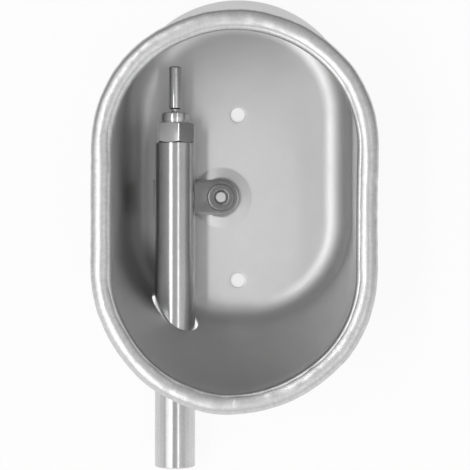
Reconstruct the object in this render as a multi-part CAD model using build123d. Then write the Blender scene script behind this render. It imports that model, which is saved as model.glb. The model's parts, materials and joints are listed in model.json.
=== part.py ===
from build123d import *
import math
import os

# Wall-mounted livestock drinking bowl, lying on its flat back with its mouth up.
# X runs across the bowl and Y along the line of its two wall holes. Z runs from the back to the mouth.
# The origin is on the back face, midway between the wall holes. All sizes are in millimetres.

# ---- Driving dimensions: pressed bowl ----
sheet = 1.5                  # stainless sheet
bowl_height = 91.5           # back face to the top of the rim
mouth_half_width = 72.0      # outline where the wall ends below the rim: half its width, ...
mouth_top_y = 96.2           # ... its round top, a semicircle, ...
mouth_bottom_y = -115.8      # ... and its bottom, ...
mouth_corner_share = 0.985   # ... whose corner radius is this share of the half width
side_lean = 2.0              # the outline at the back face is narrower by this on each side, ...
back_top_y = 129.9           # ... reaches from here ...
back_bottom_y = -72.7        # ... to here, and so the walls lean, ...
back_corner_share = 0.86     # ... and its lower corners are squarer
back_bend = 17.0             # outer radius from the back into the wall
wall_hole_pitch = 104.0
wall_hole_diameter = 9.0     # passes an M8 bolt

# Rolled rim
rim_width = 11.6             # the roll is a flattened oval ...
rim_depth = 7.4              # ... this high
flare_radius = 2.6           # the wall turns outward to the rim on this radius
crease_drop = 1.3            # the flare meets the roll this far under the top of the rim
rim_merge = 0.3              # the flare's end runs this far into the roll
curl_gap_start = 160.0       # degrees round the rim's section: the curl is open from here ...
curl_gap_end = 262.0         # ... to here, under the flare

# Raised boss that the bracket is bolted to
boss_x = -10.3
boss_top_radius = 10.0
boss_foot_radius = 18.9
boss_bend = 5.0              # inner bend radius of the pressed sheet
head_setback = 0.2           # the bolt's head stays this far inside the back face

# ---- Driving dimensions: supply pipe and its bracket ----
pipe_diameter = 25.0
pipe_wall = 3.0
pipe_length = 200.0
pipe_top_y = 33.4
pipe_x = -38.35
pipe_edge = 0.5              # chamfer on the pipe's ends
pipe_hole_clearance = 1.8    # radial room round the pipe where it passes the wall
thread_diameter = 20.955     # G 1/2
thread_depth = 15.0
thread_play = 0.1            # radial room in a screwed joint, modelled without its ridges

strip_width = 22.0
strip_thickness = 3.0
strip_overhang = 14.5        # the strip runs on this far past the pipe's axis
weld_radius = 2.2
weld_length = 18.0
weld_offset = 5.2            # each weld lies this far to the side of the pipe's axis

# ---- Driving dimensions: bracket fastener (M8) ----
bolt_diameter = 8.0
bolt_hole_clearance = 0.5    # radial, in the bowl, the washer and the seal
bolt_head_diameter = 15.0
bolt_head_height = 1.4       # a thin flat head, to lie inside the shallow boss
bolt_socket_flats = 4.0      # hexagon socket, sunk through the head into the shank
bolt_socket_depth = 3.6
bolt_tip_chamfer = 1.0
washer_diameter = 16.0
washer_thickness = 0.6
bolt_seal_thickness = 0.6
nut_diameter = 17.0
nut_height = 4.0
nut_spigot_wall = 1.6        # the nut's spigot stands in the strip
nut_edge = 0.6
nut_mouth_chamfer = 0.6
spigot_play = 0.05

# ---- Driving dimensions: nipple valve, heights along its axis from the pipe's end face ----
hex_flats = 22.0
hex_height = 12.3
hex_turn = -15.4             # degrees that the hexagon is turned as it is screwed home
hex_chamfer = 0.9            # along the axis
hex_chamfer_reach = 1.8      # inward from the corners
groove_width = 0.8
groove_depth = 0.7
collar_diameter = 18.0
collar_height = 5.3
collar_edge = 0.4
tail_wall = 1.6              # wall of the body's tail, inside the pipe
tail_margin = 0.9            # the tail runs on this far past the strainer's collar
male_thread_length = 13.0
chamber_diameter = 14.2
seat_height = 7.5
throat_diameter = 8.6        # the pin passes through it when the valve is put together
throat_length = 2.5
outlet_diameter = 10.4       # the throat widens to this, so that the pin can rock

pin_diameter = 8.0
pin_length = 26.5
pin_tip_radius = 1.4
pin_foot_chamfer = 0.6
neck_diameter = 5.0
neck_length = 2.5            # shows between the collar and the pin
ball_diameter = 12.4

ring_thickness = 2.6         # rubber seat ring
ring_bore = 8.6
ring_play = 0.1              # between the ring and the ball or the chamber
seat_slope = 45.0            # degrees, of the cone where the ball meets the ring
seat_land = 1.9              # the cone reaches this far up the ring
seal_recess = 2.4            # height of the recess for the rubber ring under the hexagon
seal_play = 0.1

joint_play = 0.15            # between the rounded faces that rock on each other
rocker_thickness = 1.6
rocker_diameter = 10.8
rocker_hole = 3.0
cup_play = 0.3               # radial, between the cup and the chamber
cup_web = 1.5
cup_lip = 0.3                # land round the cup's rounded seat
cup_skirt = 3.4
cup_wall = 1.2
cup_flute_radius = 1.5
cup_flutes = 3

spring_wire = 1.1
spring_turns = 3.0
wire_sides = 6               # the wire's round section is modelled with flats
spring_length = 9.0
spring_side_play = 0.25      # radial, between the spring and the cup's skirt
retainer_thickness = 1.5
retainer_play = 0.1
retainer_hole = 2.4
retainer_holes = 6
clip_thickness = 1.0
clip_width = 1.4
clip_depth = 0.6             # how far the clip stands in its groove
clip_gap = 60.0              # degrees
clip_play = 0.05             # between the clip and its groove

strainer_collar = 3.0
strainer_length = 22.0
strainer_diameter = 12.0
strainer_wall = 1.2
strainer_slots = 8
slot_width = 1.2
slot_margin = 2.5
regulator_thickness = 1.6
regulator_orifice = 2.5

# ---- Places that follow from the sizes ----
rim_half_width = rim_width / 2
rim_half_depth = rim_depth / 2
rim_z = bowl_height - rim_half_depth
flare_top = bowl_height - crease_drop
wall_top = flare_top - flare_radius
crease_share = math.sqrt(1 - ((flare_top - rim_z) / rim_half_depth) ** 2)
rim_out = flare_radius + rim_half_width * crease_share - rim_merge
mouth_corner = mouth_half_width * mouth_corner_share
mouth_high = mouth_top_y - mouth_half_width
mouth_low = mouth_bottom_y + mouth_corner
back_half_width = mouth_half_width - side_lean
back_corner = back_half_width * back_corner_share
back_high = back_top_y - back_half_width
back_low = back_bottom_y + back_corner

boss_height = head_setback + bolt_head_height + washer_thickness + bolt_seal_thickness
boss_top = boss_height + sheet
strip_top = boss_top + strip_thickness
pipe_radius = pipe_diameter / 2
pipe_z = strip_top + pipe_radius
thread_radius = thread_diameter / 2
bolt_hole_radius = bolt_diameter / 2 + bolt_hole_clearance
nut_spigot_radius = bolt_diameter / 2 + thread_play + nut_spigot_wall

chamber_radius = chamber_diameter / 2
collar_base = hex_height + groove_width
collar_top = collar_base + collar_height
ball_radius = ball_diameter / 2
ring_low = seat_height - ring_thickness
ring_outer = chamber_radius - ring_play
ring_inner = ring_bore / 2
seat_angle = math.radians(seat_slope)
cone_reach = (ball_radius + ring_play) / math.cos(seat_angle)
pivot_height = ring_low + seat_land - cone_reach + ring_inner * math.tan(seat_angle)
rocker_inner = ball_radius + joint_play
rocker_outer = rocker_inner + rocker_thickness
cup_seat = rocker_outer + joint_play
cup_radius = chamber_radius - cup_play
cup_floor = pivot_height - cup_seat - cup_web
retainer_top = cup_floor - spring_length
clip_top = retainer_top - retainer_thickness
strainer_top = clip_top - clip_thickness
tail_radius = chamber_radius + tail_wall
tail_length = strainer_collar + tail_margin - strainer_top

# The valve is drawn upright on its own axis, then laid along the pipe with its pin towards +Y
valve_axis = Location(Plane(origin=(pipe_x, pipe_top_y, pipe_z), x_dir=(-1, 0, 0), z_dir=(0, 1, 0)))
fastener_axis = Location((boss_x, 0, 0))

UPWARD = (Align.CENTER, Align.CENTER, Align.MIN)


# ---- Helpers ----
def turned(*outline):
    """A solid turned about Z from the corners (radius, height) of its half section."""
    return revolve(Plane.XZ * make_face(Polyline(*outline, close=True)), Axis.Z)


def rod(radius, low, high):
    """A round bar on the Z axis between two heights."""
    return Pos(0, 0, low) * Cylinder(radius, high - low, align=UPWARD)


def ring(outer, inner, low, high):
    """A round bar with a bore."""
    return rod(outer, low, high) - rod(inner, low, high)


def circles(solid, radius, height):
    """The solid's circular edges of one radius at one height."""
    return [
        edge
        for edge in solid.edges().filter_by(GeomType.CIRCLE)
        if abs(edge.radius - radius) < 0.01 and abs(edge.arc_center.Z - height) < 0.01
    ]


def hexagon(flats, low, high, turn=0.0):
    """A hexagonal bar on the Z axis between two heights."""
    face = RegularPolygon(flats / 2, 6, major_radius=False, rotation=turn)
    return Pos(0, 0, low) * extrude(face, high - low)


def between(low, high, share):
    """The value at a share of the way from low to high."""
    return low + (high - low) * share


# ---- Pressed bowl ----
def wall_outline(z, inset=0.0):
    """The bowl's outline at one height. The back lies off the mouth, so the walls lean."""
    share = z / wall_top
    half_width = between(back_half_width, mouth_half_width, share) - inset
    corner = between(back_corner, mouth_corner, share) - inset
    high = between(back_high, mouth_high, share)
    low = between(back_low, mouth_low, share)
    side = half_width - corner
    outline = [
        CenterArc((0, high), half_width, 0, 180),
        Line((-half_width, high), (-half_width, low)),
        CenterArc((-side, low), corner, 180, 90),
        Line((-side, low - corner), (side, low - corner)),
        CenterArc((side, low), corner, 270, 90),
        Line((half_width, low), (half_width, high)),
    ]
    return Pos(0, 0, z) * make_face(outline)


def leaning_cup(low, inset, bend):
    """A solid from one height up to the rim's flare, with its lower edge rounded."""
    body = loft([wall_outline(low, inset), wall_outline(wall_top, inset)], ruled=True)
    return fillet(body.faces().sort_by(Axis.Z)[0].edges(), bend)


def rim_profile():
    """Half section of the rim: the flare that leaves the wall, and the flattened roll."""
    middle = (flare_radius, wall_top)
    flare = make_face(
        [
            CenterArc(middle, flare_radius, 90, 90),
            Line((0, wall_top), (sheet, wall_top)),
            CenterArc(middle, flare_radius - sheet, 90, 90),
            Line((flare_radius, flare_top), (flare_radius, flare_top - sheet)),
        ]
    )
    bridge = Pos(flare_radius, flare_top) * Rectangle(sheet, sheet, align=(Align.MIN, Align.MAX))
    roll = Ellipse(rim_half_width, rim_half_depth)
    roll -= Ellipse(rim_half_width - sheet, rim_half_depth - sheet)
    gap = [(0, 0)]
    for turn in (curl_gap_start, (curl_gap_start + curl_gap_end) / 2, curl_gap_end):
        angle = math.radians(turn)
        gap.append((rim_width * math.cos(angle), rim_width * math.sin(angle)))
    roll -= make_face(Polyline(*gap, close=True))
    return flare + bridge + Pos(rim_out, rim_z) * roll


def round_the_mouth(profile):
    """Carries a half section, measured outward from the wall's inner face, once round the mouth."""
    side = mouth_half_width - mouth_corner
    section = Plane.XZ * Pos(mouth_half_width - sheet, 0) * profile
    high_section = Pos(0, mouth_high, 0) * section
    low_section = Pos(0, mouth_low, 0) * section
    end_section = Pos(side, mouth_low, 0) * Rot(0, 0, -90) * Pos(-side, 0, 0) * section
    half = revolve(high_section, Axis((0, mouth_high, 0), (0, 0, 1)), 90)
    half += extrude(low_section, mouth_high - mouth_low, dir=(0, 1, 0))
    half += revolve(low_section, Axis((side, mouth_low, 0), (0, 0, -1)), 90)
    half += extrude(end_section, side, dir=(-1, 0, 0))
    return half + mirror(half, Plane.YZ)


def add_boss(shell):
    """Presses the round boss into the back, at an even sheet thickness, with bent edges."""
    steepness = math.atan2(boss_height, boss_foot_radius - boss_top_radius)
    shrink = sheet * math.tan(steepness / 2)
    pocket_foot = boss_foot_radius - shrink
    pocket_top = boss_top_radius - shrink
    raised = Cone(boss_foot_radius, boss_top_radius, boss_height, align=UPWARD)
    pocket = Cone(pocket_foot, pocket_top, boss_height, align=UPWARD)
    shell = shell + fastener_axis * Pos(0, 0, sheet) * raised - fastener_axis * pocket
    wide_bends = circles(shell, boss_top_radius, boss_top) + circles(shell, pocket_foot, 0)
    shell = fillet(wide_bends, boss_bend + sheet)
    tight_bends = circles(shell, boss_foot_radius, sheet) + circles(shell, pocket_top, boss_height)
    return fillet(tight_bends, boss_bend)


def bowl_shell():
    shell = leaning_cup(0, 0, back_bend) - leaning_cup(sheet, sheet, back_bend - sheet)
    shell = add_boss(shell)
    shell -= fastener_axis * rod(bolt_hole_radius, 0, boss_top)
    for side in (-1, 1):
        shell -= Pos(0, side * wall_hole_pitch / 2, 0) * rod(wall_hole_diameter / 2, 0, sheet)
    pipe_hole = Cylinder(pipe_radius + pipe_hole_clearance, pipe_length, align=UPWARD)
    shell -= Pos(pipe_x, mouth_low, pipe_z) * Rot(90, 0, 0) * pipe_hole
    return shell + round_the_mouth(rim_profile())


# ---- Supply pipe and bracket ----
def supply_pipe():
    outside = chamfer(rod(pipe_radius, -pipe_length, 0).edges().filter_by(GeomType.CIRCLE), pipe_edge)
    pipe = outside - rod(pipe_radius - pipe_wall, -pipe_length, 0)
    pipe -= rod(thread_radius, -thread_depth, 0)
    pipe -= rod(thread_radius, -pipe_length, -pipe_length + thread_depth)
    return valve_axis * pipe


def pipe_bracket():
    """Flat strip on the boss: square under the pipe, round about the bolt."""
    left = pipe_x - strip_overhang
    face = Pos((left + boss_x) / 2, 0) * Rectangle(boss_x - left, strip_width)
    face += Pos(boss_x, 0) * Circle(strip_width / 2)
    strip = Pos(0, 0, boss_top) * extrude(face, strip_thickness)
    return strip - fastener_axis * rod(nut_spigot_radius + spigot_play, boss_top, strip_top)


def bracket_welds():
    """A weld bead on each side of the line where the pipe rests on the strip."""
    pipe = Pos(pipe_x, 0, pipe_z) * Rot(90, 0, 0) * Cylinder(pipe_radius, 2 * weld_length)
    under = Pos(pipe_x, 0, strip_top) * Box(
        pipe_diameter, 2 * weld_length, 2 * weld_radius, align=(Align.CENTER, Align.CENTER, Align.MAX)
    )
    welds = []
    for side in (-1, 1):
        bead = Pos(pipe_x + side * weld_offset, 0, strip_top) * Rot(90, 0, 0)
        welds += (bead * Cylinder(weld_radius, weld_length) - pipe - under).solids()
    return Compound(welds)


def bracket_nut():
    """Round nut: its head lies on the strip and its spigot fills the strip's hole."""
    top = strip_top + nut_height
    head = rod(nut_diameter / 2, strip_top, top)
    head = chamfer(circles(head, nut_diameter / 2, top), nut_edge)
    nut = head + rod(nut_spigot_radius, boss_top, strip_top)
    nut -= rod(bolt_diameter / 2 + thread_play, boss_top, top)
    nut = chamfer(circles(nut, bolt_diameter / 2 + thread_play, top), nut_mouth_chamfer)
    return fastener_axis * nut


def bracket_bolt():
    """Flat-headed bolt from behind, as long as its stack, so its tip is flush with the nut."""
    tip = strip_top + nut_height
    head_top = head_setback + bolt_head_height
    head = rod(bolt_head_diameter / 2, head_setback, head_top)
    shank = rod(bolt_diameter / 2, head_top, tip)
    shank = chamfer(circles(shank, bolt_diameter / 2, tip), bolt_tip_chamfer)
    socket = hexagon(bolt_socket_flats, head_setback, head_setback + bolt_socket_depth)
    return fastener_axis * (head + shank - socket)


def bolt_washer():
    low = head_setback + bolt_head_height
    return fastener_axis * ring(washer_diameter / 2, bolt_hole_radius, low, low + washer_thickness)


def bolt_seal():
    low = boss_height - bolt_seal_thickness
    return fastener_axis * ring(washer_diameter / 2, bolt_hole_radius, low, boss_height)


# ---- Nipple valve ----
def nipple_body():
    """Hexagon with a round collar outside and a screwed tail inside the pipe."""
    corner = hex_flats / math.sqrt(3)
    lathe_cut = turned(
        (0, 0),
        (corner - hex_chamfer_reach, 0),
        (corner, hex_chamfer),
        (corner, hex_height - hex_chamfer),
        (corner - hex_chamfer_reach, hex_height),
        (0, hex_height),
    )
    body = hexagon(hex_flats, 0, hex_height, hex_turn) & lathe_cut
    body += rod(collar_diameter / 2 - groove_depth, hex_height, collar_base)
    body += rod(collar_diameter / 2, collar_base, collar_top)
    body = chamfer(circles(body, collar_diameter / 2, collar_top), collar_edge)
    body += rod(tail_radius, -tail_length, 0)
    body += rod(thread_radius - thread_play, -male_thread_length, -seal_recess)
    body -= rod(chamber_radius, -tail_length, seat_height)
    body -= rod(chamber_radius + clip_depth + clip_play, strainer_top - clip_play, clip_top)
    throat_top = seat_height + throat_length
    body -= turned(
        (0, seat_height),
        (throat_diameter / 2, seat_height),
        (throat_diameter / 2, throat_top),
        (outlet_diameter / 2, collar_top),
        (0, collar_top),
    )
    return valve_axis * body


def body_seal():
    """Flat rubber ring in the recess between the hexagon and the thread."""
    outer, inner = thread_radius - seal_play, tail_radius + seal_play
    return valve_axis * ring(outer, inner, -seal_recess, 0)


def seat_ring():
    """Rubber ring under the throat, with a cone that the ball closes on."""
    cone_foot = ring_inner + seat_land / math.tan(seat_angle)
    return valve_axis * turned(
        (ring_inner, ring_low + seat_land),
        (cone_foot, ring_low),
        (ring_outer, ring_low),
        (ring_outer, seat_height),
        (ring_inner, seat_height),
    )


def valve_stem():
    """One turned piece: ball on the seat ring, thin neck, and the pin that is pushed."""
    foot = collar_top + neck_length
    tip = foot + pin_length
    pin = rod(pin_diameter / 2, foot, tip)
    pin = fillet(circles(pin, pin_diameter / 2, tip), pin_tip_radius)
    pin = chamfer(circles(pin, pin_diameter / 2, foot), pin_foot_chamfer)
    ball = Pos(0, 0, pivot_height) * Sphere(ball_radius)
    return valve_axis * (ball + rod(neck_diameter / 2, pivot_height, foot) + pin)


def rocker_washer():
    """Dished washer between the ball and the cup, rounded about the ball's centre."""
    dish = Sphere(rocker_outer) - Sphere(rocker_inner)
    dish &= rod(rocker_diameter / 2, -rocker_outer, -rocker_inner / 2)
    dish -= rod(rocker_hole / 2, -rocker_outer, 0)
    return valve_axis * Pos(0, 0, pivot_height) * dish


def spring_cup():
    """Guide that slides in the chamber: a rounded seat above, a skirt round the spring below."""
    seat_edge = cup_radius - cup_lip
    top = pivot_height - math.sqrt(cup_seat**2 - seat_edge**2)
    cup = rod(cup_radius, cup_floor - cup_skirt, top) - Pos(0, 0, pivot_height) * Sphere(cup_seat)
    cup -= rod(cup_radius - cup_wall, cup_floor - cup_skirt, cup_floor)
    for place in PolarLocations(cup_radius, cup_flutes):
        cup -= place * rod(cup_flute_radius, cup_floor - cup_skirt, top)
    return valve_axis * cup


def valve_spring():
    """Coil spring between cup and retainer."""
    middle = cup_radius - cup_wall - spring_side_play - spring_wire / 2
    rise = spring_length - spring_wire
    coil = Helix(rise / spring_turns, rise, middle, center=(0, 0, retainer_top + spring_wire / 2))
    section = Plane(coil @ 0, z_dir=coil % 0) * RegularPolygon(spring_wire / 2, wire_sides)
    return valve_axis * sweep(section, path=coil, is_frenet=True)


def spring_retainer():
    """Disc that the spring stands on, with a ring of water holes halfway out."""
    low = retainer_top - retainer_thickness
    disc = rod(chamber_radius - retainer_play, low, retainer_top)
    hole_circle = chamber_radius / 2
    for place in PolarLocations(hole_circle, retainer_holes):
        disc -= place * rod(retainer_hole / 2, low, retainer_top)
    return valve_axis * disc


def retainer_clip():
    """Open flat ring that holds the retainer. Its outer edge stands in a groove of the tail."""
    outer = chamber_radius + clip_depth
    section = Pos(outer, strainer_top) * Rectangle(clip_width, clip_thickness, align=(Align.MAX, Align.MIN))
    return valve_axis * revolve(Plane.XZ * section, Axis.Z, 360 - clip_gap)


def strainer():
    """Slotted basket: its collar plugs the tail and its slots stand in the pipe's water."""
    low = strainer_top - strainer_length
    collar_low = strainer_top - strainer_collar
    basket = rod(chamber_radius - retainer_play, collar_low, strainer_top)
    basket += rod(strainer_diameter / 2, low, collar_low)
    basket -= rod(strainer_diameter / 2 - strainer_wall, low + strainer_wall, strainer_top)
    slot_length = strainer_length - strainer_collar - strainer_wall - 2 * slot_margin
    slot = Box(strainer_diameter, slot_width, slot_length, align=(Align.MIN, Align.CENTER, Align.MIN))
    for place in PolarLocations(0, strainer_slots):
        basket -= Pos(0, 0, low + strainer_wall + slot_margin) * place * slot
    return valve_axis * basket


def flow_regulator():
    """Disc with a small orifice, set in the strainer's collar."""
    low = strainer_top - regulator_thickness
    radius = strainer_diameter / 2 - strainer_wall - retainer_play
    return valve_axis * ring(radius, regulator_orifice / 2, low, strainer_top)


PARTS = [
    bowl_shell,
    supply_pipe,
    pipe_bracket,
    bracket_welds,
    bracket_nut,
    bracket_bolt,
    bolt_washer,
    bolt_seal,
    nipple_body,
    body_seal,
    seat_ring,
    valve_stem,
    rocker_washer,
    spring_cup,
    valve_spring,
    spring_retainer,
    retainer_clip,
    strainer,
    flow_regulator,
]

os.makedirs("parts", exist_ok=True)
for make in PARTS:
    export_step(make(), f"parts/{make.__name__}.step")
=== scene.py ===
import json
import math

import bmesh
import bpy
from mathutils import Matrix, Vector, noise


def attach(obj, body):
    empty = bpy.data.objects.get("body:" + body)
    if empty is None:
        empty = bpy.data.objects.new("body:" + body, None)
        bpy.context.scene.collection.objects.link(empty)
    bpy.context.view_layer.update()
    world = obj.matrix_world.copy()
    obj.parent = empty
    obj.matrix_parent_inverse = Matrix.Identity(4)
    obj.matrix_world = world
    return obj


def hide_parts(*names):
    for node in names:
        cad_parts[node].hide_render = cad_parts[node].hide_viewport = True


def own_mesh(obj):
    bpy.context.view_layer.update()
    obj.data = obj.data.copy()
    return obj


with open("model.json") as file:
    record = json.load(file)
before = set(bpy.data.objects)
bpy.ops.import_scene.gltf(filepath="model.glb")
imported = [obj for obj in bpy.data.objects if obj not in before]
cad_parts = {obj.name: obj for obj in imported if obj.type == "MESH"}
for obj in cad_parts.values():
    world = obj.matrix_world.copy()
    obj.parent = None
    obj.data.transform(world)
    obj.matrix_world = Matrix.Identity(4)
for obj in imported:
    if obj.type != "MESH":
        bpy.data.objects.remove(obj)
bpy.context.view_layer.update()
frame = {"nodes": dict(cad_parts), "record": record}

# Sizes are in millimetres here and become metres when a piece is finished.
MM = 0.001

# ---- Bowl ----
SHEET = 1.5
RIM_HALF_WIDTH = 5.8
RIM_HALF_DEPTH = 3.7
RIM_Z = 87.8                 # height of the roll's middle
WALL_TOP = 87.6              # height at which the wall turns into the roll
FLARE = 2.6                  # radius of the curve between wall and roll, on the inner face
RIM_OUT = 6.71               # the roll's middle lies this far outside the wall's inner face
# The outer face's outline at height 0 and at WALL_TOP: the round top's radius, the radius of the
# lower corners, where on Y their centres lie, and where on X the middle lies
BACK = {"half_width": 72.0, "corner": 67.2, "high": 58.0, "low": -7.4, "middle": 0.9}
MOUTH = {"half_width": 72.0, "corner": 70.92, "high": 24.2, "low": -44.88, "middle": 0.0}
BACK_BEND = 18.5             # radius of the bend between back and walls, on the outer face
FLAT_RING = 1.5              # width of the ring of faces inside the bend's foot
# Places near the mouth (x, y) that lie outside the drawn outline, how far, and over what reach
UNEVEN = [
    (72, 62, 1.8, 40), (-68, 70, 0.9, 28), (-28, 103, -0.6, 14), (-80, 22, -0.5, 16),
    (42, -112, -1.1, 24), (-8, -122, 0.9, 14), (-70, -84, -1.1, 24),
]
UNEVEN_FROM = 40.0           # height at which this sets in
WRINKLE_SIZE, WRINKLE_DEPTH = 4.5, 0.22  # narrow marks that the rolling leaves on the rim
WAVE_SIZE, WAVE_DEPTH = 16.0, 0.30       # and wider ones
ROUND_STEPS = 112            # steps round the bowl's round top, and half as many round each corner
SIDE_STEPS = 34              # steps along each straight side
BOTTOM_STEPS = 4             # steps along the short straight bottom

# ---- Boss, wall holes and pipe ----
BOSS_X = -10.3
BOSS_TOP = 4.3
BOSS_TOP_RADIUS = 10.0
BOSS_FOOT_RADIUS = 18.9
BOSS_BEND = 5.0
BOSS_RING = 22.0             # outer radius of the boss's turned section, on the flat back
BOLT_HOLE = 4.5              # radius
WALL_HOLE = 4.5              # radius
WALL_HOLE_Y = 52.0           # the two holes lie this far above and below the middle
WALL_HOLE_RING = 6.5         # outer radius of the turned section round a wall hole
PIPE_X = -38.35
PIPE_Z = 19.8
PIPE_TOP_Y = 33.4            # the end that holds the valve
PIPE_HOLE = 14.3             # radius of the hole in the wall
PIPE_LENGTH = 200.0
CUTTER_Y = -95.0             # middle of the cylinder that cuts the pipe's hole in the wall
CUTTER_LENGTH = 150.0
THREAD_PITCH = 1.814
THREAD_TURNS = 7
THREAD_STEPS = 40            # steps in each turn
THREAD_START = 1.4           # distance of its first turn from the pipe's end
THREAD_RIDGE = [(10.6, -0.8), (9.45, -0.1), (9.45, 0.1), (10.6, 0.8)]  # radius, along

# ---- Rim's finish, in metres ----
RIM_RADIUS = 0.078           # turns an angle round the rim into a length along it
RIM_FINISH = (0.0884, 0.0893)  # heights between which the rim's finish sets in

# ---- Camera, lights and floor, in metres ----
CAMERA = (0.0291, -0.0236, 1.04)
CAMERA_TURN = math.atan(30.9 / 1040)  # aims it at a point 1.8 mm left of the back's middle
LENS = 126.4
STRIP_HEIGHT = 2.5
STRIP_LENGTH = 3.4
STRIPS = [                   # name, x, width, radiance
    ("strip_left", -0.91, 0.28, 6.0),
    ("wide_strip_left", -1.90, 1.35, 0.72),
    ("strip_right", 0.98, 0.24, 1.95),
]
FLOOR_Z = -0.0006
FLOOR_GLOW_AND_PAINTED_SHADE = (0.57, 0.9)     # painted shade behind the bowl's back, and the plain glow outside it
PAINTED_SHADE_EDGE = (0.056, 0.068)  # distances from the middle over which the painted shade fades into the plain glow
# The room's brightness by the height of the direction, towards +Y and towards -Y
TONES_TOP = [
    (0.0, 0.0), (0.35, 0.15), (0.45, 0.6), (0.68, 0.52), (0.82, 0.28), (0.95, 0.36), (0.985, 0.5),
]
TONES_BOTTOM = [
    (0.0, 1.1), (0.35, 1.1), (0.45, 0.75), (0.68, 0.72), (0.82, 0.95), (0.95, 0.85), (0.985, 0.5),
]


# ---- Mesh helpers ----
def finished(bm, name, body, slot, *looks, replaces=(), smooth=35):
    """Turns a bmesh in millimetres into a piece of the object, on its body. The slot is not used.
    """
    bmesh.ops.scale(bm, vec=(MM, MM, MM), verts=bm.verts)
    mesh = bpy.data.meshes.new(name)
    bm.to_mesh(mesh)
    bm.free()
    for look in looks:
        mesh.materials.append(look)
    mesh.shade_smooth()
    mesh.set_sharp_from_angle(angle=math.radians(smooth))
    piece = bpy.data.objects.new(name, mesh)
    bpy.context.scene.collection.objects.link(piece)
    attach(piece, body)
    if replaces:
        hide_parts(*replaces)
    return piece


def wire(bm, points):
    """An open chain of edges through the points."""
    verts = [bm.verts.new(p) for p in points]
    edges = [bm.edges.new(pair) for pair in zip(verts, verts[1:])]
    return verts + edges


def rounded(corners, steps=5):
    """Points (radius, height) along a section whose corners (radius, height, bend) are rounded."""
    points = [Vector(corners[0][:2])]
    for before, corner, after in zip(corners, corners[1:], corners[2:]):
        here = Vector(corner[:2])
        inward = (Vector(before[:2]) - here).normalized()
        onward = (Vector(after[:2]) - here).normalized()
        if corner[2] == 0:
            points.append(here)
            continue
        half = inward.angle(onward) / 2
        centre = here + (inward + onward).normalized() * corner[2] / math.sin(half)
        first = here + inward * corner[2] / math.tan(half) - centre
        last = here + onward * corner[2] / math.tan(half) - centre
        turn = first.angle_signed(last)
        for step in range(steps + 1):
            spoke = first.copy()
            spoke.rotate(Matrix.Rotation(-turn * step / steps, 2))
            points.append(centre + spoke)
    points.append(Vector(corners[-1][:2]))
    return points


def turn_section(bm, points, centre=(0, 0), steps=72):
    """Spins a section (radius, height) fully round an upright axis."""
    chain = wire(bm, [(centre[0] + p[0], centre[1], p[1]) for p in points])
    bmesh.ops.spin(
        bm, geom=chain, cent=(*centre, 0), axis=(0, 0, 1), dvec=(0, 0, 0),
        angle=2 * math.pi, steps=steps, use_merge=True, use_duplicate=False,
    )


def edges_at(bm, height):
    """Open edges that lie at one height."""
    return [
        e for e in bm.edges
        if len(e.link_faces) == 1 and all(abs(v.co.z - height) < 0.001 for v in e.verts)
    ]


# ---- Bowl shell ----
def outline(way, z):
    """Where a direction's arc of the outline has its centre at one height, and its radius.

    A way is an outward direction (x, y), a share along the side, from -1 at the bottom to 1 at
    the top, and a share across, from -1 to 1.
    """
    half_width, corner, high, low, middle = (
        BACK[k] + (MOUTH[k] - BACK[k]) * z / WALL_TOP for k in BACK
    )
    share, across = way[2:]
    radius = half_width if share == 1 and across == 0 else corner
    side = middle + across * (half_width - corner)
    return Vector((side, low + (high - low) * (share + 1) / 2, 0)), radius


def pushed(place):
    """How far the forming has left the mouth outside its drawn outline near a place."""
    return sum(
        push * math.exp(-((place.x - x) ** 2 + (place.y - y) ** 2) / reach**2)
        for x, y, push, reach in UNEVEN
    )


def on_wall(way, z, inset, height=None):
    """A point so far inside the wall's outer face, by the outline at z, at any height."""
    centre, radius = outline(way, z)
    x, y = way[:2]
    spoke = Vector((x, y, 0))
    reach = radius - inset
    if z > UNEVEN_FROM:
        share = (z - UNEVEN_FROM) / (WALL_TOP - UNEVEN_FROM)
        reach += pushed(centre + spoke * radius) * share * share * (3 - 2 * share)
    return centre + spoke * reach + Vector((0, 0, z if height is None else height))


def wall_lean(way):
    """How far the wall moves outward for each millimetre of height, in one direction."""
    climb = on_wall(way, 1, 0, 0) - on_wall(way, 0, 0, 0)
    return climb.x * way[0] + climb.y * way[1]


def on_bend(way, share, inset):
    """A point on the bend between the back and the wall. Share 0 is at the back, 1 at the wall."""
    bend = BACK_BEND - inset
    lean = wall_lean(way)
    angle = -math.pi / 2 + (math.pi / 2 - math.atan(lean)) * share
    more = bend * math.hypot(1, lean) - bend * math.cos(angle)
    return on_wall(way, BACK_BEND, inset + more, BACK_BEND + bend * math.sin(angle))


def bend_top(way, inset):
    """The height at which the bend runs into the wall."""
    bend = BACK_BEND - inset
    lean = wall_lean(way)
    return BACK_BEND - bend * lean / math.hypot(1, lean)


def on_rim(way, out, height):
    """A point of the rim's section: so far outward from the wall's inner face, at one height."""
    return on_wall(way, WALL_TOP, SHEET - out, height)


def rim_point(way, inset, angle):
    """A point on the roll, so far inside its outer surface, at an angle round its section."""
    angle = math.radians(angle)
    out = (RIM_HALF_WIDTH - inset) * math.cos(angle)
    return on_rim(way, RIM_OUT + out, RIM_Z + (RIM_HALF_DEPTH - inset) * math.sin(angle))


def flare_point(way, radius, angle):
    """A point on the small curve by which the wall turns outward into the roll."""
    angle = math.radians(angle)
    return on_rim(way, FLARE + radius * math.cos(angle), WALL_TOP + radius * math.sin(angle))


def steps_between(first, last, count):
    """Even steps from the first value to the last."""
    return [first + (last - first) * i / count for i in range(count + 1)]


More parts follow.
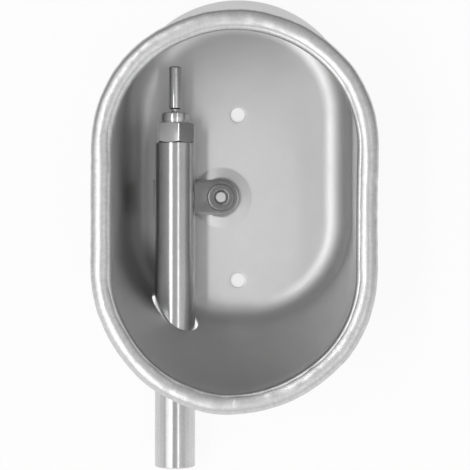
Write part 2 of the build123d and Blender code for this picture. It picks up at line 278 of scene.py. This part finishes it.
def dent(way, angle):
    """How far the rolled rim is pushed in by the rolling, in millimetres."""
    place = on_wall(way, WALL_TOP, 0)
    turn = Vector((math.cos(math.radians(angle)), math.sin(math.radians(angle)), 0))
    wrinkle = noise.noise(Vector((place.x / WRINKLE_SIZE, place.y / WRINKLE_SIZE, turn.y * 0.9)))
    wave = noise.noise(Vector((place.x / WAVE_SIZE, place.y / WAVE_SIZE, 5 + turn.x * 0.6)))
    return WRINKLE_DEPTH * wrinkle + WAVE_DEPTH * wave


def shell_rings():
    """Every ring of the shell's surface, from the back's inner face over the rim to its outer face.

    Angles are in degrees round a section: 0 points outward and 90 towards the camera.
    """
    rings = []
    for share in steps_between(0, 1, 12):
        rings.append(lambda way, s=share: on_bend(way, s, SHEET))
    for share in steps_between(0.06, 1, 10):
        rings.append(lambda way, s=share: on_wall(
            way, bend_top(way, SHEET) + (WALL_TOP - bend_top(way, SHEET)) * s, SHEET))
    for angle in steps_between(168, 78, 8):
        rings.append(lambda way, a=angle: flare_point(way, FLARE, a))
    for angle in steps_between(146, -98, 34):
        rings.append(lambda way, a=angle: rim_point(way, dent(way, a), a))
    for angle in steps_between(-98, 154, 24):
        rings.append(lambda way, a=angle: rim_point(way, SHEET, a))
    for angle in steps_between(104, 172, 4):
        rings.append(lambda way, a=angle: flare_point(way, FLARE - SHEET, a))
    for share in steps_between(1, 0.06, 8):
        rings.append(lambda way, s=share: on_wall(
            way, bend_top(way, 0) + (WALL_TOP - bend_top(way, 0)) * s, 0))
    for share in steps_between(1, 0, 10):
        rings.append(lambda way, s=share: on_bend(way, s, 0))
    return rings


def arc_of_edges(bm, start, centre, degrees, steps):
    """Spins a vertex into an arc of edges and returns the arc's last vertex."""
    turned = bmesh.ops.spin(
        bm, geom=[start], cent=(*centre, 0), axis=(0, 0, 1), dvec=(0, 0, 0),
        angle=math.radians(degrees), steps=steps, use_merge=False, use_duplicate=False,
    )["geom_last"]
    return next(v for v in turned if isinstance(v, bmesh.types.BMVert))


def first_ring(bm, layers):
    """A closed wire round the bowl, in which each vertex keeps its way round the outline.

    The wire is drawn with a half width of 1, straight sides from -1 to 1, and corners of 0.5.
    """
    start = bm.verts.new((1, 1, 0))
    left = arc_of_edges(bm, start, (0, 1), 180, ROUND_STEPS)
    lower = bm.verts.new((-1, -1, 0))
    sides = [bm.edges.new((left, lower))]
    low = arc_of_edges(bm, lower, (-0.5, -1), 90, ROUND_STEPS // 2)
    far = bm.verts.new((0.5, -1.5, 0))
    bottom = [bm.edges.new((low, far))]
    right = arc_of_edges(bm, far, (0.5, -1), 90, ROUND_STEPS // 2)
    sides.append(bm.edges.new((right, start)))
    bmesh.ops.subdivide_edges(bm, edges=sides, cuts=SIDE_STEPS - 1)
    bmesh.ops.subdivide_edges(bm, edges=bottom, cuts=BOTTOM_STEPS - 1)
    way, across = layers
    for vert in bm.verts:
        x, y = vert.co.x, vert.co.y
        share = max(-1.0, min(1.0, y))
        if y > 0.9999:
            vert[way], vert[across] = Vector((x, y - 1, 1)), 0
        elif y > -1.0001:
            vert[way], vert[across] = Vector((math.copysign(1, x), 0, share)), math.copysign(1, x)
        else:
            vert[across] = max(-1.0, min(1.0, 2 * x))
            vert[way] = Vector((2 * x - vert[across], 2 * y + 2, -1))
    return list(bm.edges)


def way_of(vert, layers):
    """The way (see outline) that was kept on a vertex of the bowl."""
    return (*vert[layers[0]], vert[layers[1]])


def bowl_mesh():
    """The whole shell: rings from the flat back over the rim and back, then the flat itself."""
    bm = bmesh.new()
    layers = bm.verts.layers.float_vector.new("way"), bm.verts.layers.float.new("across")
    edges = first_ring(bm, layers)
    rings = shell_rings()
    for vert in bm.verts:
        vert.co = rings[0](way_of(vert, layers))
    for place in rings[1:]:
        grown = bmesh.ops.extrude_edge_only(bm, edges=edges)["geom"]
        verts = {g for g in grown if isinstance(g, bmesh.types.BMVert)}
        edges = [
            g for g in grown if isinstance(g, bmesh.types.BMEdge) and set(g.verts) <= verts
        ]
        for vert in verts:
            vert.co = place(way_of(vert, layers))
    for height in (SHEET, 0):
        inset = bmesh.ops.extrude_edge_only(bm, edges=edges_at(bm, height))["geom"]
        for vert in (g for g in inset if isinstance(g, bmesh.types.BMVert)):
            vert.co -= Vector((*way_of(vert, layers)[:2], 0)) * FLAT_RING
    bm.verts.layers.float_vector.remove(bm.verts.layers.float_vector["way"])
    bm.verts.layers.float.remove(bm.verts.layers.float["across"])
    add_boss_and_holes(bm)
    for height in (SHEET, 0):
        bmesh.ops.triangle_fill(bm, use_beauty=True, use_dissolve=False, edges=edges_at(bm, height))
    bmesh.ops.recalc_face_normals(bm, faces=bm.faces)
    return bm


def add_boss_and_holes(bm):
    """The raised boss with its bolt hole, and the two wall holes, each turned round its axis."""
    steepness = math.atan2(BOSS_TOP - SHEET, BOSS_FOOT_RADIUS - BOSS_TOP_RADIUS)
    shrink = SHEET * math.tan(steepness / 2)
    boss = rounded([             # over the inner face to the bolt hole, and back on the outer one
        (BOSS_RING, SHEET, 0),
        (BOSS_FOOT_RADIUS, SHEET, 6),
        (12.2, 2.9, 3),
        (10.8, BOSS_TOP, 0.8),
        (BOLT_HOLE, BOSS_TOP, 0.15),
        (BOLT_HOLE, BOSS_TOP - SHEET, 0.15),
        (BOSS_TOP_RADIUS - shrink, BOSS_TOP - SHEET, BOSS_BEND),
        (BOSS_FOOT_RADIUS - shrink, 0, BOSS_BEND + SHEET),
        (BOSS_RING, 0, 0),
    ])
    turn_section(bm, boss, (BOSS_X, 0), steps=96)
    hole = rounded([
        (WALL_HOLE_RING, SHEET, 0), (WALL_HOLE, SHEET, 0.35), (WALL_HOLE, 0, 0.15),
        (WALL_HOLE_RING, 0, 0),
    ])
    for side in (-1, 1):
        turn_section(bm, hole, (0, side * WALL_HOLE_Y), steps=64)


def cut_pipe_hole(piece):
    """Cuts the oversize round hole that the pipe passes through."""
    bm = bmesh.new()
    place = Matrix.Translation((PIPE_X * MM, CUTTER_Y * MM, PIPE_Z * MM))
    bmesh.ops.create_cone(
        bm, cap_ends=True, segments=96, radius1=PIPE_HOLE * MM, radius2=PIPE_HOLE * MM,
        depth=CUTTER_LENGTH * MM, matrix=place @ Matrix.Rotation(math.pi / 2, 4, "X"),
    )
    mesh = bpy.data.meshes.new("pipe_hole_cutter")
    bm.to_mesh(mesh)
    bm.free()
    cutter = bpy.data.objects.new("pipe_hole_cutter", mesh)
    bpy.context.scene.collection.objects.link(cutter)
    cut = piece.modifiers.new("pipe_hole", "BOOLEAN")
    cut.operation = "DIFFERENCE"
    cut.solver = "EXACT"
    cut.object = cutter
    bpy.context.view_layer.update()
    shown = piece.evaluated_get(bpy.context.evaluated_depsgraph_get())
    done = bpy.data.meshes.new_from_object(shown)
    piece.modifiers.clear()
    old = piece.data
    piece.data = done
    bpy.data.meshes.remove(old)
    bpy.data.objects.remove(cutter)


# ---- Materials ----
def material(name):
    """A new material, with its node tree and its shader."""
    made = bpy.data.materials.new(name)
    made.use_nodes = True
    return made, made.node_tree, made.node_tree.nodes["Principled BSDF"]


def node(tree, kind, **inputs):
    """A new node, with inputs set by name. An underscore stands for a space."""
    made = tree.nodes.new(kind)
    for key, value in inputs.items():
        made.inputs[key.replace("_", " ")].default_value = value
    return made


def noise_on(tree, vector, stretch, **settings):
    """Noise on a vector, stretched by a factor along each axis."""
    mapping = tree.nodes.new("ShaderNodeMapping")
    mapping.inputs["Scale"].default_value = stretch
    made = node(tree, "ShaderNodeTexNoise", **settings)
    tree.links.new(vector, mapping.inputs["Vector"])
    tree.links.new(mapping.outputs["Vector"], made.inputs["Vector"])
    return made.outputs["Fac"]


def pattern(tree, stretch, **settings):
    """Noise on object coordinates, stretched by a factor along each axis."""
    coords = tree.nodes.new("ShaderNodeTexCoord")
    return noise_on(tree, coords.outputs["Object"], stretch, **settings)


def spread(tree, source, low, high, start=0.3, end=0.7):
    """Stretches a value from start..end to low..high."""
    made = node(tree, "ShaderNodeMapRange", From_Min=start, From_Max=end, To_Min=low, To_Max=high)
    tree.links.new(source, made.inputs["Value"])
    return made.outputs["Result"]


def joined(tree, operation, first, second):
    """A sum, product or the like of two values, each a number or another node's output."""
    made = tree.nodes.new("ShaderNodeMath")
    made.operation = operation
    for socket, value in zip(made.inputs, (first, second)):
        if isinstance(value, (int, float)):
            socket.default_value = value
        else:
            tree.links.new(value, socket)
    return made.outputs["Value"]


def grey(tree, value):
    """A brightness as a colour."""
    made = tree.nodes.new("ShaderNodeCombineColor")
    for socket in made.inputs:
        tree.links.new(value, socket)
    return made.outputs["Color"]


def bumped(tree, shader, *layers):
    """Stacks bumps, each a (height, distance in millimetres) pair, on a shader's normal."""
    last = None
    for height, distance in layers:
        bump = node(tree, "ShaderNodeBump", Strength=1.0, Distance=distance * MM)
        tree.links.new(height, bump.inputs["Height"])
        if last:
            tree.links.new(last, bump.inputs["Normal"])
        last = bump.outputs["Normal"]
    tree.links.new(last, shader.inputs["Normal"])


def steel(name, tone, tone_swing, rough, rough_swing, grain, grain_depth):
    """Bare stainless steel: cloudy tone and roughness, and a grain stretched along one axis."""
    made, tree, shader = material(name)
    shader.inputs["Metallic"].default_value = 1.0
    clouds = pattern(tree, (35, 35, 35), Scale=1.0, Detail=5.0, Roughness=0.6)
    lines = pattern(tree, grain, Scale=1.0, Detail=3.0, Roughness=0.6)
    halves = [joined(tree, "MULTIPLY", part, 0.5) for part in (clouds, lines)]
    mixed = joined(tree, "ADD", *halves)
    tones = spread(tree, mixed, tone - tone_swing, tone + tone_swing)
    dullness = spread(tree, mixed, rough + rough_swing, rough - rough_swing)
    tree.links.new(grey(tree, tones), shader.inputs["Base Color"])
    tree.links.new(dullness, shader.inputs["Roughness"])
    bumped(tree, shader, (lines, grain_depth))
    return made


def rubber(name, tone):
    """Dull rubber, slightly uneven in tone."""
    made, tree, shader = material(name)
    fine = pattern(tree, (1, 1, 1), Scale=1500.0, Detail=4.0)
    tones = spread(tree, fine, tone * 0.8, tone * 1.2)
    tree.links.new(grey(tree, tones), shader.inputs["Base Color"])
    tree.links.new(spread(tree, fine, 0.65, 0.8), shader.inputs["Roughness"])
    bumped(tree, shader, (fine, 0.01))
    return made


def moulded(name, colour, rough):
    """Moulded plastic of one colour."""
    made, tree, shader = material(name)
    shader.inputs["Base Color"].default_value = (*colour, 1)
    fine = pattern(tree, (1, 1, 1), Scale=2000.0, Detail=3.0)
    tree.links.new(spread(tree, fine, rough - 0.06, rough + 0.06), shader.inputs["Roughness"])
    bumped(tree, shader, (fine, 0.006))
    return made


def round_the_rim(tree):
    """Coordinates that follow the rim: two along its length, and one across it."""
    coords = tree.nodes.new("ShaderNodeTexCoord")
    split = tree.nodes.new("ShaderNodeSeparateXYZ")
    tree.links.new(coords.outputs["Object"], split.inputs["Vector"])
    x, y, z = (split.outputs[axis] for axis in "XYZ")
    capped = joined(tree, "MINIMUM", y, MOUTH["high"] * MM)
    middle = joined(tree, "MAXIMUM", capped, MOUTH["low"] * MM)
    off = joined(tree, "SUBTRACT", y, middle)
    angle = joined(tree, "ARCTAN2", off, x)
    squares = [joined(tree, "MULTIPLY", part, part) for part in (x, off)]
    out = joined(tree, "SQRT", joined(tree, "ADD", *squares), 0)
    vector = tree.nodes.new("ShaderNodeCombineXYZ")
    tree.links.new(joined(tree, "MULTIPLY", angle, RIM_RADIUS), vector.inputs["X"])
    tree.links.new(middle, vector.inputs["Y"])
    tree.links.new(out, vector.inputs["Z"])
    return vector.outputs["Vector"], z


def pressed_steel():
    """Dull pressed sheet. The rolled rim is mottled, with marks across it from the rolling."""
    made, tree, shader = material("pressed_steel")
    shader.inputs["Metallic"].default_value = 1.0
    along, height = round_the_rim(tree)
    rim = spread(tree, height, 0, 1, *RIM_FINISH)
    clouds = pattern(tree, (35, 35, 35), Scale=1.0, Detail=5.0, Roughness=0.6)
    grain = pattern(tree, (1500, 1500, 1500), Scale=1.0, Detail=4.0, Roughness=0.7)
    blotches = noise_on(tree, along, (420, 420, 260), Scale=1.0, Detail=6.0, Roughness=0.75)
    marks = noise_on(tree, along, (900, 900, 70), Scale=1.0, Detail=3.0, Roughness=0.6)
    specks = pattern(tree, (1300, 1300, 1300), Scale=1.0, Detail=2.0, Roughness=0.5)
    tone = spread(tree, clouds, 0.605, 0.635)
    tone = joined(tree, "SUBTRACT", tone, spread(tree, specks, 0, 0.25, 0.70, 0.82))
    worn = joined(tree, "MULTIPLY", rim, spread(tree, blotches, -0.08, 0.06))
    tree.links.new(grey(tree, joined(tree, "ADD", tone, worn)), shader.inputs["Base Color"])
    polished = joined(tree, "MULTIPLY", rim, spread(tree, blotches, 0.0, -0.14))
    rough = joined(tree, "ADD", spread(tree, clouds, 0.47, 0.43), polished)
    tree.links.new(rough, shader.inputs["Roughness"])
    bumped(
        tree, shader, (grain, 0.004),
        (joined(tree, "MULTIPLY", rim, blotches), 0.05),
        (joined(tree, "MULTIPLY", rim, marks), 0.02),
    )
    return made


# For each steel: name, tone and its swing, roughness and its swing, grain, depth of the grain
finishes = {
    "bowl_steel": pressed_steel(),
    "pipe_steel": steel("ground_tube_steel", 0.60, 0.07, 0.20, 0.04, (1400, 700, 1400), 0.002),
    "bracket_steel": steel("strip_steel", 0.33, 0.05, 0.17, 0.04, (300, 2500, 2500), 0.002),
    "weld_steel": steel("weld_steel", 0.45, 0.06, 0.38, 0.08, (300, 1200, 300), 0.05),
    "fastener_steel": steel("fastener_steel", 0.58, 0.08, 0.38, 0.06, (1800, 1800, 1800), 0.002),
    "valve_steel": steel("milled_steel", 0.64, 0.05, 0.17, 0.04, (400, 3000, 400), 0.002),
    "pin_steel": steel("turned_pin_steel", 0.56, 0.05, 0.14, 0.04, (300, 5000, 300), 0.001),
    "spring_steel": steel("spring_steel", 0.55, 0.05, 0.28, 0.05, (2000, 2000, 2000), 0.004),
    "seal_rubber": rubber("seal_rubber", 0.03),
    "valve_plastic": moulded("natural_plastic", (0.75, 0.75, 0.72), 0.42),
    "regulator_plastic": moulded("blue_grey_plastic", (0.25, 0.30, 0.42), 0.40),
}
nut_steel = steel("turned_nut_steel", 0.31, 0.05, 0.17, 0.04, (1800, 1800, 1800), 0.002)
slots = {n["node"]: n["material_slot"] for n in frame["record"]["subparts"]}


def finish_cad_nodes():
    """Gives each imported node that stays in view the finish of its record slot."""
    for name, piece in frame["nodes"].items():
        made = finishes[slots[name]]
        if not piece.material_slots:
            piece.data.materials.append(made)
        for place in piece.material_slots:
            place.material = made


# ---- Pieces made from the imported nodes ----
def merged_copy(node_name):
    """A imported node's mesh in millimetres, with the corners that its faces share merged."""
    bm = bmesh.new()
    bm.from_mesh(frame["nodes"][node_name].data)
    bmesh.ops.scale(bm, vec=(1 / MM, 1 / MM, 1 / MM), verts=bm.verts)
    bmesh.ops.remove_doubles(bm, verts=bm.verts, dist=0.002)
    return bm


def softened(node_name, name, body, width, finish=None, edge_angle=28):
    """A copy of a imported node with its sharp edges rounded. It replaces the node."""
    bm = merged_copy(node_name)
    bmesh.ops.dissolve_limit(
        bm, angle_limit=math.radians(0.6), use_dissolve_boundaries=False,
        verts=bm.verts, edges=bm.edges,
    )
    sharp = [
        e for e in bm.edges
        if len(e.link_faces) == 2 and e.calc_face_angle(0) > math.radians(edge_angle)
    ]
    bmesh.ops.bevel(
        bm, geom=sharp, offset=width, offset_type="OFFSET", segments=2, profile=0.5,
        affect="EDGES", clamp_overlap=True, material=-1, loop_slide=True,
    )
    bmesh.ops.triangulate(bm, faces=[f for f in bm.faces if len(f.verts) > 4])
    slot = slots[node_name]
    finish = finish or finishes[slot]
    return finished(bm, name, body, slot, finish, replaces=[node_name], smooth=40)


def shortening_spring():
    """A copy of the valve's spring, with a mesh of its own."""
    bm = merged_copy("valve_spring")
    slot = slots["valve_spring"]
    finish = finishes[slot]
    piece = finished(
        bm, "valve_spring_coil", "bowl", slot, finish, replaces=["valve_spring"], smooth=40
    )
    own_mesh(piece)


def pipe_thread():
    """The ridges of the female thread in the pipe's open end."""
    bm = bmesh.new()
    verts = [bm.verts.new((radius, 0, along)) for radius, along in THREAD_RIDGE]
    edges = [bm.edges.new((verts[i], verts[(i + 1) % 4])) for i in range(4)]
    bmesh.ops.spin(
        bm, geom=verts + edges, cent=(0, 0, 0), axis=(0, 0, 1),
        dvec=(0, 0, THREAD_PITCH / THREAD_STEPS), angle=2 * math.pi * THREAD_TURNS,
        steps=THREAD_TURNS * THREAD_STEPS, use_merge=False, use_duplicate=False,
    )
    ends = [e for e in bm.edges if len(e.link_faces) == 1]
    bmesh.ops.holes_fill(bm, edges=ends, sides=4)
    bmesh.ops.recalc_face_normals(bm, faces=bm.faces)
    turn = Matrix.Rotation(-math.pi / 2, 4, "X")
    start = Matrix.Translation((PIPE_X, PIPE_TOP_Y - PIPE_LENGTH + THREAD_START, PIPE_Z))
    bmesh.ops.transform(bm, matrix=start @ turn, verts=bm.verts)
    return finished(bm, "pipe_thread", "bowl", "pipe_steel", finishes["pipe_steel"])


# ---- Camera, lights and floor ----
def add_camera():
    """The main view's camera, turned slightly towards the bowl's middle."""
    data = bpy.data.cameras.new("camera")
    data.sensor_width = 36
    data.lens = LENS
    data.clip_end = 50
    camera = bpy.data.objects.new("camera", data)
    camera.location = CAMERA
    camera.rotation_euler = (0, CAMERA_TURN, 0)
    bpy.context.scene.collection.objects.link(camera)
    bpy.context.scene.camera = camera


def add_strip(name, x, width, radiance):
    """A light that is long along Y and faces the object."""
    data = bpy.data.lights.new(name, "AREA")
    data.shape = "RECTANGLE"
    data.size, data.size_y = width, STRIP_LENGTH
    data.energy = radiance * math.pi * width * STRIP_LENGTH
    light = bpy.data.objects.new(name, data)
    light.location = (x, 0, STRIP_HEIGHT)
    light.rotation_euler = (0, math.atan2(x, STRIP_HEIGHT), 0)
    bpy.context.scene.collection.objects.link(light)


def ray_share(tree, share):
    """A share for rays from the eye, or seen in metal or through glass, and none for other rays."""
    path = tree.nodes.new("ShaderNodeLightPath")
    seen = joined(tree, "MAXIMUM", path.outputs["Is Camera Ray"], path.outputs["Is Glossy Ray"])
    seen = joined(tree, "MAXIMUM", seen, path.outputs["Is Transmission Ray"])
    return joined(tree, "MULTIPLY", seen, share)


def sky_tones(tree, split, tones):
    """The room's brightness by the height of the direction, from (height, brightness) pairs."""
    curve = tree.nodes.new("ShaderNodeValToRGB")
    tree.links.new(split.outputs["Z"], curve.inputs["Fac"])
    stops = curve.color_ramp.elements
    while len(stops) < len(tones):
        stops.new(0.5)
    for stop, (place, tone) in zip(stops, tones):
        stop.position = place
        stop.color = (tone, tone, tone, 1)
    return curve.outputs["Color"]


def add_surroundings():
    """The room that lights the object. The eye itself sees it as plain white."""
    world = bpy.data.worlds.new("studio")
    world.use_nodes = True
    bpy.context.scene.world = world
    tree = world.node_tree
    background = tree.nodes["Background"]
    coords = tree.nodes.new("ShaderNodeTexCoord")
    split = tree.nodes.new("ShaderNodeSeparateXYZ")
    tree.links.new(coords.outputs["Generated"], split.inputs["Vector"])
    towards_top = sky_tones(tree, split, TONES_TOP)
    towards_bottom = sky_tones(tree, split, TONES_BOTTOM)
    half = node(tree, "ShaderNodeMapRange", From_Min=-0.3, From_Max=0.3)
    half.interpolation_type = "SMOOTHSTEP"
    tree.links.new(split.outputs["Y"], half.inputs["Value"])
    share = half.outputs["Result"]
    upper = joined(tree, "MULTIPLY", share, towards_top)
    lower = joined(tree, "MULTIPLY", joined(tree, "SUBTRACT", 1.0, share), towards_bottom)
    room = joined(tree, "ADD", upper, lower)
    path = tree.nodes.new("ShaderNodeLightPath")
    mix = tree.nodes.new("ShaderNodeMix")
    mix.data_type = "RGBA"
    colours = [s for s in mix.inputs if s.type == "RGBA"]
    colours[1].default_value = (1, 1, 1, 1)
    tree.links.new(path.outputs["Is Camera Ray"], mix.inputs[0])
    tree.links.new(grey(tree, room), colours[0])
    result = next(s for s in mix.outputs if s.type == "RGBA")
    tree.links.new(result, background.inputs["Color"])


def add_floor():
    """A pale floor that glows. Behind the back, where the wall holes show it, a disc of painted
    shade makes it glow less.
    """
    made, tree, shader = material("white_floor")
    shader.inputs["Base Color"].default_value = (0.9, 0.9, 0.9, 1)
    shader.inputs["Roughness"].default_value = 0.9
    glow = node(tree, "ShaderNodeEmission", Strength=1.0)
    clear = tree.nodes.new("ShaderNodeBsdfTransparent")
    under = tree.nodes.new("ShaderNodeNewGeometry")
    lit = tree.nodes.new("ShaderNodeMixShader")
    seen = tree.nodes.new("ShaderNodeMixShader")
    coords = tree.nodes.new("ShaderNodeTexCoord")
    distance = tree.nodes.new("ShaderNodeVectorMath")
    distance.operation = "LENGTH"
    tree.links.new(coords.outputs["Object"], distance.inputs[0])
    # Painted shade: within the bowl's outline the floor glows less, as if shadowed by the bowl.
    glow_share_and_painted_shade = spread(tree, distance.outputs["Value"], *FLOOR_GLOW_AND_PAINTED_SHADE, *PAINTED_SHADE_EDGE)
    tree.links.new(ray_share(tree, glow_share_and_painted_shade), lit.inputs[0])
    tree.links.new(shader.outputs[0], lit.inputs[1])
    tree.links.new(glow.outputs[0], lit.inputs[2])
    tree.links.new(under.outputs["Backfacing"], seen.inputs[0])
    tree.links.new(lit.outputs[0], seen.inputs[1])
    tree.links.new(clear.outputs[0], seen.inputs[2])
    tree.links.new(seen.outputs[0], tree.nodes["Material Output"].inputs["Surface"])
    bm = bmesh.new()
    bmesh.ops.create_grid(bm, x_segments=1, y_segments=1, size=6)
    bmesh.ops.translate(bm, vec=(0, 0, FLOOR_Z), verts=bm.verts)
    mesh = bpy.data.meshes.new("floor")
    bm.to_mesh(mesh)
    bm.free()
    mesh.materials.append(made)
    floor = bpy.data.objects.new("floor", mesh)
    bpy.context.scene.collection.objects.link(floor)


# ---- The scene ----
add_camera()
add_surroundings()
for strip in STRIPS:
    add_strip(*strip)
add_floor()
finish_cad_nodes()

# The cut gives the bowl a new mesh, so its finish and smooth faces are set after it.
bowl = finished(bowl_mesh(), "pressed_bowl", "bowl", "bowl_steel", replaces=["bowl_shell"])
cut_pipe_hole(bowl)
bowl.data.materials.append(finishes["bowl_steel"])
bowl.data.shade_smooth()
bowl.data.set_sharp_from_angle(angle=math.radians(35))

softened("nipple_body", "nipple_body_soft", "bowl", 0.12)
softened("valve_stem", "valve_stem_soft", "stem", 0.18)
softened("pipe_bracket", "pipe_bracket_soft", "bowl", 0.15)
softened("bracket_nut", "bracket_nut_soft", "bowl", 0.2, nut_steel)
shortening_spring()
pipe_thread()

bpy.context.scene.view_settings.view_transform = "Standard"
